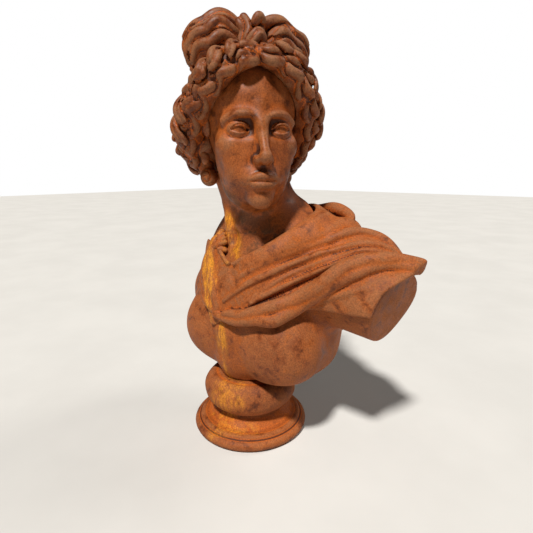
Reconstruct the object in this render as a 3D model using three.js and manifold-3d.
// A life-size hollow cast-iron bust in the classical manner, on a turned round socle.
// Units are millimetres. +Z is up, the chest faces -Y, and +X is the figure's left.
// The origin is the centre of the flat resting face under the socle.
//
// Each casting is described by a field: a function that is negative inside the shape.
// wrap() shrinks a triangulated ball onto a field, and manifold-3d cuts a casting by its neighbours.
import * as THREE from "three";
import { mergeVertices } from "three/addons/utils/BufferGeometryUtils.js";
import Module from "manifold-3d";

// Driving dimensions
const FOOT_RADIUS = 110;
const FOOT_TOP = 50; // seat of the knop
const KNOP_RADIUS = 89;
const KNOP_TOP = 112; // seat of the torso's stem
const WALL = 9; // wall of the torso and of the skull
const CLOTH = 10; // thickness of the mantle between its folds
const NECK_JOINT = 384; // height of the joint between the torso and the head
const HEAD_CENTRE = [6, -4, 539];
const HEAD_TURN = THREE.MathUtils.degToRad(55); // the head looks towards the figure's left
const HAIR = 14; // thickness of the hair over the skull
const GAP = 0.4; // clearance between castings, and round fasteners
const SEAT_GAP = 0.9; // clearance where one free-form surface lies on another
const ROD_RADIUS = 8;
const SCREW_RADIUS = 4;
const ROUND_SIDES = 12;
const TURNED_SIDES = 32;

const RUST = { color: 0x7a4526, roughness: 0.85, metalness: 0.35 };
const DARK_RUST = { color: 0x5b3a28, roughness: 0.8, metalness: 0.45 };
const STEEL = { color: 0x5a4a40, roughness: 0.6, metalness: 0.7 };

// ---------------------------------------------------------------- vectors as [x, y, z]
const add = (a, b, s = 1) => [a[0] + s * b[0], a[1] + s * b[1], a[2] + s * b[2]];
const sub = (a, b) => add(a, b, -1);
const dot = (a, b) => a[0] * b[0] + a[1] * b[1] + a[2] * b[2];
const length = (a) => Math.sqrt(dot(a, a));
const unit = (a) => a.map((x) => x / length(a));
const between = (a, b, t) => add(a, sub(b, a), t);
const flip = (p, side) => [side * p[0], p[1], p[2]];
const SIDES = [1, -1]; // figure's left, figure's right

// ---------------------------------------------------------------- fields
const ellipsoid = (centre, radii) => (p) => {
  const q = sub(p, centre);
  const k0 = length([q[0] / radii[0], q[1] / radii[1], q[2] / radii[2]]);
  const k1 = length([q[0] / radii[0] ** 2, q[1] / radii[1] ** 2, q[2] / radii[2] ** 2]);
  return k1 < 1e-9 ? -Math.min(...radii) : (k0 * (k0 - 1)) / k1;
};
const capsule = (a, b, ra, rb = ra) => {
  const axis = sub(b, a);
  const span = dot(axis, axis);
  return (p) => {
    const t = THREE.MathUtils.clamp(dot(sub(p, a), axis) / span, 0, 1);
    return length(sub(p, add(a, axis, t))) - (ra + t * (rb - ra));
  };
};
const below = (point, normal) => {
  const n = unit(normal);
  return (p) => dot(sub(p, point), n);
};
const smoothMin = (a, b, k) => {
  const h = Math.max(k - Math.abs(a - b), 0) / k;
  return Math.min(a, b) - (h * h * k) / 4;
};
const blend = (k, ...fields) => (p) => fields.map((f) => f(p)).reduce((a, b) => smoothMin(a, b, k));
const limit = (k, ...fields) => (p) => -fields.map((f) => -f(p)).reduce((a, b) => smoothMin(a, b, k));
const offset = (field, d) => (p) => field(p) - d;
const outside = (field) => (p) => -field(p);

// A chain of capsules along a smooth curve through the points; the radii are spread along it.
function tube(points, radii, links = 8) {
  const curve = new THREE.CatmullRomCurve3(points.map((p) => new THREE.Vector3(...p)));
  const at = (i) => curve.getPoint(i / links).toArray();
  const radius = (i) => {
    const t = (i / links) * (radii.length - 1);
    const j = Math.min(Math.floor(t), radii.length - 2);
    return THREE.MathUtils.lerp(radii[j], radii[j + 1], t - j);
  };
  const chain = [];
  for (let i = 0; i < links; i++) {
    chain.push(capsule(at(i), at(i + 1), radius(i), radius(i + 1)));
  }
  return blend(3, ...chain);
}

function slope(field, p) {
  const step = 0.5;
  return unit([[step, 0, 0], [0, step, 0], [0, 0, step]].map((e) => field(add(p, e)) - field(sub(p, e))));
}

// The point near p that lies at this height over the field's surface.
function project(field, p, height = 0) {
  let q = p;
  for (let i = 0; i < 12; i++) q = add(q, slope(field, q), 0.8 * (height - field(q)));
  return q;
}

// ---------------------------------------------------------------- solids
const wasm = await Module();
wasm.setup();

function bare(geometry) {
  geometry.deleteAttribute("normal");
  geometry.deleteAttribute("uv");
  return mergeVertices(geometry, 1e-4);
}

function toSolid(geometry) {
  const merged = bare(geometry);
  return new wasm.Manifold(new wasm.Mesh({
    numProp: 3,
    vertProperties: merged.attributes.position.array,
    triVerts: new Uint32Array(merged.index.array),
  }));
}

function toGeometry(solid) {
  const mesh = solid.getMesh();
  const geometry = new THREE.BufferGeometry();
  geometry.setAttribute("position", new THREE.BufferAttribute(mesh.vertProperties, 3));
  geometry.setIndex(new THREE.BufferAttribute(mesh.triVerts, 1));
  geometry.computeVertexNormals();
  return geometry;
}

// A ball shrunk from far outside onto the field, along rays to its centre.
function wrap(field, centre, detail, far = 420) {
  const geometry = bare(new THREE.IcosahedronGeometry(1, detail));
  const position = geometry.attributes.position;
  const stride = 4;
  for (let i = 0; i < position.count; i++) {
    const d = unit([position.getX(i), position.getY(i), position.getZ(i)]);
    let low = far;
    while (low > stride && field(add(centre, d, low)) > 0) low -= stride;
    let high = low + stride;
    for (let k = 0; k < 12; k++) {
      const middle = (low + high) / 2;
      if (field(add(centre, d, middle)) > 0) high = middle;
      else low = middle;
    }
    position.setXYZ(i, ...add(centre, d, low));
  }
  return toSolid(geometry);
}

// The largest body of a cut solid, without the slivers left by the cut.
const largest = (solid) => solid.decompose().sort((a, b) => b.volume() - a.volume())[0];

// A turned solid: [distance along the axis, radius] pairs, from a towards b.
function turned(profile, a, b, sides = ROUND_SIDES) {
  const geometry = new THREE.LatheGeometry(profile.map(([along, r]) => new THREE.Vector2(r, along)), sides);
  const axis = new THREE.Vector3(...sub(b, a)).normalize();
  geometry.applyQuaternion(new THREE.Quaternion().setFromUnitVectors(new THREE.Vector3(0, 1, 0), axis));
  geometry.translate(...a);
  return toSolid(geometry);
}
function bar(a, b, r, sides = ROUND_SIDES) {
  const span = length(sub(b, a));
  return turned([[0, 0], [0, r], [span, r], [span, 0]], a, b, sides);
}

const group = new THREE.Group();
group.name = "bust";
function piece(name, solid, finish) {
  const mesh = new THREE.Mesh(toGeometry(solid), new THREE.MeshStandardMaterial(finish));
  mesh.name = name;
  group.add(mesh);
}

// A screw through a wall: its seat lies inside, its shank points outwards along the wall's normal.
// The screw is returned with the pocket and the holes that it needs.
function screwThrough(field, near, wall, reach) {
  const skin = project(field, near);
  const out = slope(field, skin);
  const seat = add(skin, out, -(wall - 4));
  const tip = add(skin, out, reach);
  const head = 5;
  const inner = add(seat, out, -GAP);
  return {
    solid: turned([[0, 0], [0, 8], [head, 8], [head, SCREW_RADIUS], [head + wall + reach - 4, SCREW_RADIUS],
      [head + wall + reach - 4, 0]], add(inner, out, -head), tip),
    pocket: bar(seat, add(seat, out, -30), 9),
    hole: bar(add(seat, out, -1), add(tip, out, 1), SCREW_RADIUS + GAP),
  };
}

// A plain stud that pins two castings together.
function stud(a, b) {
  return {
    solid: bar(a, b, SCREW_RADIUS),
    hole: bar(add(a, unit(sub(a, b)), 0.6), add(b, unit(sub(b, a)), 0.6), SCREW_RADIUS + GAP),
  };
}

// ---------------------------------------------------------------- torso
const TORSO_CENTRE = [15, 58, 240];
const LEFT_ARM_CUT = below([248, 42, 250], [0.956, -0.155, -0.248]);
const RIGHT_ARM_CUT = below([-198, 45, 262], [-0.97, -0.12, -0.2]);

const ribcage = ellipsoid([0, 60, 225], [154, 120, 230]);
const breasts = [ellipsoid([78, -8, 186], [82, 62, 78]), ellipsoid([-74, -6, 186], [77, 62, 77])];
const rightShoulder = ellipsoid([-132, 52, 240], [58, 56, 62]);
const leftArm = capsule([160, 62, 288], [300, 62, 270], 64, 60);
const trapezius = [capsule([8, 78, 394], [190, 86, 334], 42, 44), capsule([-8, 78, 384], [-114, 58, 278], 38, 40)];
const neckRoot = capsule([0, 66, 340], [0, 44, 400], 64, 58);
const collarbones = [capsule([14, -4, 358], [140, 26, 342], 9, 11), capsule([-14, -4, 358], [-118, 26, 316], 9, 11)];
const trunk = blend(26, ribcage, ...breasts, rightShoulder, leftArm);
const body = blend(16, blend(34, trunk, ...trapezius, neckRoot), ...collarbones);

// The lower edge hangs low over the middle, and rises to both sides and to the back.
const LOWER_EDGE = { height: 116, middle: 35, rise: 140, reach: 235, backRise: 50 };
const lowerEdge = (p) => {
  const side = Math.abs((p[0] - LOWER_EDGE.middle) / LOWER_EDGE.reach) ** 3;
  const back = Math.max(p[1] - 20, 0) / 150;
  return 0.8 * (LOWER_EDGE.height + LOWER_EDGE.rise * side + LOWER_EDGE.backRise * back * back - p[2]);
};
const torsoField = limit(12, body, lowerEdge, LEFT_ARM_CUT, RIGHT_ARM_CUT);
const torsoCore = wrap(limit(10, offset(body, -WALL), offset(LEFT_ARM_CUT, -WALL), offset(RIGHT_ARM_CUT, -WALL),
  below([0, 0, NECK_JOINT - 14], [0, 0, 1])), TORSO_CENTRE, 4);

const STEM_TOP = 172;
const stem = turned([[0, 0], [0, 60], [5, 62], [12, 57], [24, 46], [STEM_TOP - KNOP_TOP, 40],
  [STEM_TOP - KNOP_TOP, 0]], [0, 0, KNOP_TOP + GAP], [0, 0, STEM_TOP], 24);
const breastbone = blend(18, capsule([0, -34, 205], [0, -22, 150], 38, 42),
  capsule([0, -22, 150], [0, 2, 128], 42, 52));
const BREASTBONE_CENTRE = [0, -20, 165];
const belowStem = bar([0, 0, 0], [0, 0, KNOP_TOP + GAP], 200);

// Flanges at the neck joint, held by three bolts
const NECK_AXIS_Y = 50;
const FLANGE = 14;
const BOLT_CIRCLE = 33;
const HEX = { radius: 7.5, height: 6 };
const neckBore = bar([0, NECK_AXIS_Y, NECK_JOINT - 30], [0, NECK_AXIS_Y, NECK_JOINT + 40], 22);
const boltSpots = [90, 210, 330].map((degrees) => {
  const a = THREE.MathUtils.degToRad(degrees);
  return [BOLT_CIRCLE * Math.cos(a), NECK_AXIS_Y + BOLT_CIRCLE * Math.sin(a)];
});
const boltTop = NECK_JOINT + FLANGE + GAP;
const boltBottom = NECK_JOINT - FLANGE - 9;

// ---------------------------------------------------------------- mantle
// The cloth is pinned on the right shoulder, crosses the chest, and covers the left shoulder and the back.
const CLASP = [-50, -17, 348];
const SHOULDER_TIP = [284, 78, 342];
const sheet = offset(body, CLOTH);
const frontHem = below([40, -70, 240], [0.42, -0.2, -0.88]);
const frontEdge = below([-72, -48, 300], [-0.9, -0.3, -0.3]);
const frontBand = limit(14, frontHem, frontEdge);
const backPart = limit(14, below([0, 70, 0], [-0.1, -1, 0.1]), below([-150, 0, 0], [-1, 0, 0]));
const neckOpening = blend(10, capsule([0, 62, 330], [0, 34, 430], 67, 66), capsule([0, 84, 380], [0, 96, 440], 62),
  capsule([0, -30, 372], [-10, -90, 352], 26));
const cover = limit(8, sheet, blend(20, frontBand, backPart), outside(neckOpening));

// Folds fan out from the gather on the breastbone to the left shoulder; more hang down the back.
const lay = (points, height) => points.map((p) => project(body, p, height));
const UPPER_FOLD = [[10, -60, 312], [74, -38, 344], [130, 16, 370], [200, 84, 376], SHOULDER_TIP];
const LOWER_FOLD = [[-30, -70, 244], [40, -70, 246], [112, -40, 272], [206, 16, 338], SHOULDER_TIP];
const DIAGONAL_FOLDS = 5;
const folds = [];
for (let k = 0; k < DIAGONAL_FOLDS; k++) {
  const path = UPPER_FOLD.map((p, i) => between(p, LOWER_FOLD[i], k / (DIAGONAL_FOLDS - 1)));
  folds.push(tube(lay(path, CLOTH - 2), [8, 13, 14, 14, 12]));
}
folds.push(tube(lay([CLASP, [-78, -48, 297], [-60, -62, 256], [-20, -70, 238]], CLOTH - 4), [9, 11, 11, 9], 6));
const BACK_FOLDS = 6;
for (let k = 0; k < BACK_FOLDS; k++) {
  const x = THREE.MathUtils.lerp(-110, 230, k / (BACK_FOLDS - 1));
  folds.push(tube(lay([[0.55 * x, 150, 370], [0.8 * x, 190, 290], [x, 190, 190]], CLOTH - 4), [14, 18, 18], 6));
}
const neckRoll = tube([[96, 88, 420], [70, 130, 420], [0, 158, 400], [-64, 120, 372], [-84, 50, 350], CLASP],
  [18, 19, 18, 16, 14, 12]);
// The corner behind the left arm stays bare.
const corner = limit(1, below([96, 0, 150], [-0.75, 0, 0.66]), below([0, 84, 0], [0, -1, 0]));
const hemLimit = offset(lowerEdge, -4);
const mantleField = limit(8, blend(10, cover, ...folds, neckRoll), hemLimit, outside(corner), offset(LEFT_ARM_CUT, -GAP),
  offset(RIGHT_ARM_CUT, -GAP), outside(neckOpening));

const TORSO_DETAIL = 7;
const seatOfMantle = wrap(offset(torsoField, SEAT_GAP), TORSO_CENTRE, TORSO_DETAIL)
  .add(wrap(offset(breastbone, SEAT_GAP), BREASTBONE_CENTRE, 4, 150));
const core = ellipsoid(TORSO_CENTRE, [40, 40, 40]);
let mantle = wrap(blend(1, mantleField, core), TORSO_CENTRE, 9).subtract(seatOfMantle);
let torso = wrap(torsoField, TORSO_CENTRE, TORSO_DETAIL).subtract(torsoCore)
  .add(stem.add(wrap(breastbone, BREASTBONE_CENTRE, 4, 150)).subtract(belowStem))
  .subtract(bar([0, 0, NECK_JOINT - GAP / 2], [0, 0, 500], 400)).subtract(neckBore)
  .subtract(bar([0, 0, 40], [0, 0, 260], ROD_RADIUS + GAP)).subtract(bar([0, 0, STEM_TOP], [0, 0, 270], 24));

const MANTLE_SCREWS = [[100, -50, 300], [215, 20, 340], [-80, 180, 280], [130, 180, 260]];
MANTLE_SCREWS.forEach((near, i) => {
  const screw = screwThrough(torsoField, near, WALL, 9);
  torso = torso.subtract(screw.pocket).subtract(screw.hole);
  mantle = mantle.subtract(screw.hole);
  piece(`mantle_screw_${i + 1}`, screw.solid, STEEL);
});

// The brooch that holds the cloth on the right shoulder
const claspField = blend(8, ellipsoid(CLASP, [22, 22, 26]), ellipsoid(add(CLASP, [-8, -6, 12]), [16, 16, 16]));
const claspStud = stud(add(CLASP, [-3, -6, 0]), add(CLASP, [14, 34, -12]));
const clasp = wrap(claspField, CLASP, 2, 80).subtract(claspStud.hole);
mantle = mantle.subtract(wrap(offset(claspField, SEAT_GAP), CLASP, 2, 80)).subtract(claspStud.hole);
torso = torso.subtract(wrap(offset(claspField, SEAT_GAP), CLASP, 2, 80)).subtract(claspStud.hole);

// ---------------------------------------------------------------- head, in its own frame: the face looks to -Y
const toWorld = new THREE.Matrix4().makeRotationZ(HEAD_TURN).setPosition(...HEAD_CENTRE);
const toHead = toWorld.clone().invert();
const moved = (p, matrix) => new THREE.Vector3(...p).applyMatrix4(matrix).toArray();
const placed = (p) => moved(p, toWorld);
const inHead = (field) => (p) => field(moved(p, toHead));

const cranium = ellipsoid([0, 20, 44], [80, 98, 84]);
const forehead = ellipsoid([0, -12, 56], [70, 74, 60]);
const faceMask = ellipsoid([0, -26, -20], [62, 67, 87]);
const jaw = capsule([-15, -42, -76], [15, -42, -76], 31);
const brow = capsule([-34, -76, 30], [34, -76, 30], 12);
const nose = capsule([0, -88, 18], [0, -103, -30], 7, 9);
const lips = ellipsoid([0, -88, -64], [24, 14, 13]);
const chin = ellipsoid([0, -82, -93], [19, 17, 16]);
const eyeHollows = SIDES.map((s) => ellipsoid([s * 33, -99, 11], [18, 15, 11]));
const skull = limit(8, blend(22, cranium, forehead, faceMask, jaw, brow), ...eyeHollows.map(outside));
const face = blend(7, skull, nose, lips, chin);
const neck = capsule([0, 56, 366], [-8, 15, 500], 62, 57);
const headField = blend(12, inHead(face), neck);
const HEAD_SEEN_FROM = [0, 0, 520];
const HEAD_DETAIL = 6;
const skullCore = wrap(inHead(blend(20, ellipsoid([0, 20, 44], [70, 87, 73]), ellipsoid([0, -20, -22], [49, 52, 66]))),
  HEAD_CENTRE, 4);
const throat = bar([0, NECK_AXIS_Y - 4, NECK_JOINT + FLANGE], [0, 6, 560], 44);
const throatFloor = bar([0, 0, NECK_JOINT - 60], [0, 0, NECK_JOINT + FLANGE], 400);
const belowJoint = bar([0, 0, 200], [0, 0, NECK_JOINT + GAP / 2], 400);

let head = wrap(headField, HEAD_SEEN_FROM, HEAD_DETAIL).subtract(skullCore)
  .subtract(throat.subtract(throatFloor)).subtract(belowJoint).subtract(neckBore);
boltSpots.forEach(([x, y], i) => {
  const hole = bar([x, y, boltBottom - 1], [x, y, boltTop + 1], SCREW_RADIUS + GAP);
  const headRoom = bar([x, y, NECK_JOINT + FLANGE], [x, y, boltTop + HEX.height + 4], HEX.radius + 1);
  head = head.subtract(hole).subtract(headRoom);
  torso = torso.subtract(hole);
  const bolt = turned([[0, 0], [0, SCREW_RADIUS], [boltTop - boltBottom, SCREW_RADIUS],
    [boltTop - boltBottom, HEX.radius], [boltTop - boltBottom + HEX.height, HEX.radius],
    [boltTop - boltBottom + HEX.height, 0]], [x, y, boltBottom], [x, y, boltTop], 18);
  const nutTop = NECK_JOINT - FLANGE - GAP;
  const nut = bar([x, y, nutTop - HEX.height], [x, y, nutTop], HEX.radius, 6);
  piece(`neck_bolt_${i + 1}`, bolt, STEEL);
  piece(`neck_nut_${i + 1}`, nut.subtract(hole), STEEL);
});

// ---------------------------------------------------------------- hair
const scalp = ellipsoid([0, 24, 50], [77 + HAIR, 93 + HAIR, 77 + HAIR]);
const WREATH = [[0, -74, 116], [30, -72, 108], [60, -61, 88], [83, -36, 56], [94, -6, 24], [92, 24, -10],
  [74, 56, -36], [42, 90, -52]];
const wreath = SIDES.map((s) => tube(WREATH.map((p) => flip(p, s)), [18, 22, 26, 28, 28, 25, 21, 19]));
const nape = tube([[-50, 86, -48], [0, 112, -50], [50, 86, -48]], [19, 20, 19], 4);
const neckLock = tube([[-76, 30, -40], [-70, 26, -58], [-66, 30, -66]], [18, 16, 13], 3);
const faceOpening = ellipsoid([0, -92, -14], [66, 80, 116]);
const hairShape = limit(12, blend(9, scalp, ...wreath, nape, neckLock), outside(faceOpening));
const HAIR_CENTRE = [0, 22, 34];
const hairField = inHead(blend(2, hairShape, ellipsoid(HAIR_CENTRE, [40, 40, 40])));
const HAIR_DETAIL = 7;
const seatOfHair = wrap(offset(headField, SEAT_GAP), HEAD_SEEN_FROM, HEAD_DETAIL);
let hair = wrap(hairField, placed(HAIR_CENTRE), HAIR_DETAIL).subtract(seatOfHair);
SIDES.forEach((side) => {
  const screw = screwThrough(headField, placed([side * 84, 24, 20]), WALL, 10);
  head = head.subtract(screw.pocket).subtract(screw.hole);
  hair = hair.subtract(screw.hole);
  piece(side > 0 ? "hair_screw_left" : "hair_screw_right", screw.solid, STEEL);
});

// The bow of hair on the crown: a knot between two looped locks
const BOW = [60, 4, 154];
const bowShape = (s) => blend(12, ellipsoid([s * BOW[0], BOW[1], BOW[2]], [46, 32, 43]),
  ellipsoid([s * 84, 4, 138], [26, 26, 28]));
const knotShape = blend(8, ellipsoid([0, -16, 154], [16, 22, 36]), ellipsoid([0, 12, 156], [14, 24, 36]));
const KNOT_CENTRE = placed([0, 0, 154]);
const clearOfHair = wrap(offset(hairField, SEAT_GAP), placed(HAIR_CENTRE), HAIR_DETAIL);
const clearOfKnot = wrap(inHead(offset(knotShape, SEAT_GAP)), KNOT_CENTRE, 3, 120);
const knotStud = stud(placed([0, 0, 114]), placed([0, 0, 152]));
const knot = wrap(inHead(knotShape), KNOT_CENTRE, 3, 120).subtract(clearOfHair).subtract(knotStud.hole);
hair = hair.subtract(knotStud.hole);
head = head.subtract(knotStud.hole);
SIDES.forEach((side) => {
  const name = side > 0 ? "left" : "right";
  const pin = stud(placed([side * 38, 4, 104]), placed([side * 56, 4, 148]));
  const bow = wrap(inHead(bowShape(side)), placed(flip(BOW, side)), 4, 160);
  hair = hair.subtract(pin.hole);
  head = head.subtract(pin.hole);
  piece(`bow_${name}`, bow.subtract(clearOfHair).subtract(clearOfKnot).subtract(pin.hole), DARK_RUST);
  piece(`bow_stud_${name}`, pin.solid, STEEL);
});

piece("torso_shell", torso, RUST);
piece("mantle", largest(mantle), RUST);
piece("shoulder_clasp", clasp, RUST);
piece("clasp_stud", claspStud.solid, STEEL);
piece("head_shell", head, RUST);
piece("hair", largest(hair), DARK_RUST);
piece("bow_knot", knot, DARK_RUST);
piece("knot_stud", knotStud.solid, STEEL);

// ---------------------------------------------------------------- socle, knop and tie rod
const rodFoot = 10;
const socle = turned([[0, 0], [0, FOOT_RADIUS - 4], [5, FOOT_RADIUS], [13, FOOT_RADIUS], [19, FOOT_RADIUS - 4],
  [21.5, FOOT_RADIUS - 11], [24, FOOT_RADIUS - 12], [27, FOOT_RADIUS - 14], [33, 84], [39, 73], [45, 66],
  [FOOT_TOP, 63], [FOOT_TOP, 0]], [0, 0, 0], [0, 0, 1], TURNED_SIDES);
const knop = turned([[0, 0], [0, 62], [7, 72], [14, 81], [24, KNOP_RADIUS - 1], [34, KNOP_RADIUS], [44, 85],
  [53, 76], [59, 66], [61, 60], [61, 0]], [0, 0, FOOT_TOP + GAP], [0, 0, KNOP_TOP], TURNED_SIDES);
const knopBore = bar([0, 0, FOOT_TOP - 5], [0, 0, KNOP_TOP + 5], 34, 20);
const rodHole = bar([0, 0, rodFoot - GAP], [0, 0, KNOP_TOP + 20], ROD_RADIUS + GAP);
const rodTop = STEM_TOP + 26;
const nut = { bottom: STEM_TOP + 4, top: STEM_TOP + 17, radius: 14 };
piece("socle", socle.subtract(rodHole), RUST);
piece("knop", knop.subtract(knopBore), RUST);
piece("tie_rod", bar([0, 0, rodFoot], [0, 0, rodTop], ROD_RADIUS), STEEL);
const onRod = bar([0, 0, 100], [0, 0, 260], ROD_RADIUS + GAP);
piece("tie_rod_washer", bar([0, 0, STEM_TOP + GAP], [0, 0, nut.bottom - GAP], 18).subtract(onRod), STEEL);
piece("tie_rod_nut", bar([0, 0, nut.bottom], [0, 0, nut.top], nut.radius, 6).subtract(onRod), STEEL);

export default group;
